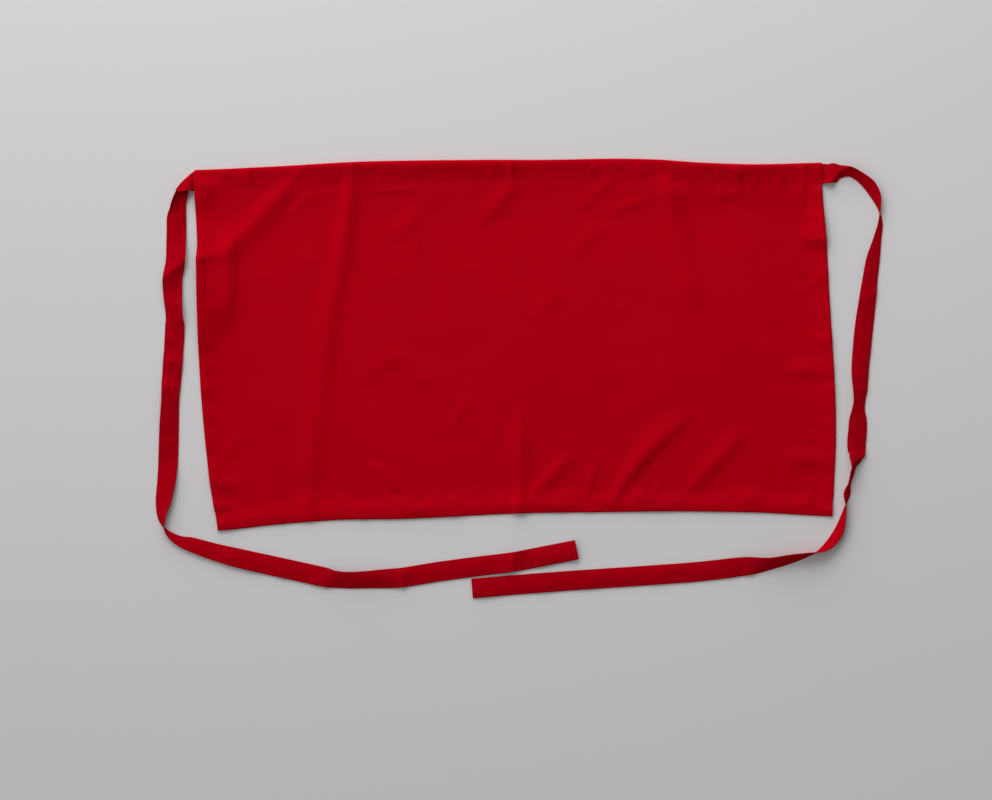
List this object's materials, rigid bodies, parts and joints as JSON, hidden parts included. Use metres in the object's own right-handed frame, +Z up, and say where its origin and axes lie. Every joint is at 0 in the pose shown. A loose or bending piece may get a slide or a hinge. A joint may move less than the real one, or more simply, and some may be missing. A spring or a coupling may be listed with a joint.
{
  "type": "quarter apron",
  "caption": "Plain hemmed quarter apron of woven cloth, laid flat with its waistband at the top and its long waist ties spread round the panel.",
  "frame": {"origin": "middle of the area that the laid apron covers, on the surface it lies on", "axes": "+X along the waist, to the right as seen from above; +Y up the drop, towards the waistband; +Z up off the surface"},
  "size_m": [0.8108, 0.4905, 0.0133],
  "materials": {
    "panel_cloth": "matt plain-woven red poly-cotton",
    "waistband_cloth": "matt plain-woven red poly-cotton, folded and topstitched",
    "tie_cloth": "matt plain-woven red poly-cotton, folded into a narrow strip",
    "thread": "red polyester sewing thread"
  },
  "bodies": {
    "root": {"panel": "panel_cloth", "waistband": "waistband_cloth", "tie_left": "tie_cloth", "tie_right": "tie_cloth"}
  },
  "joints": []
}
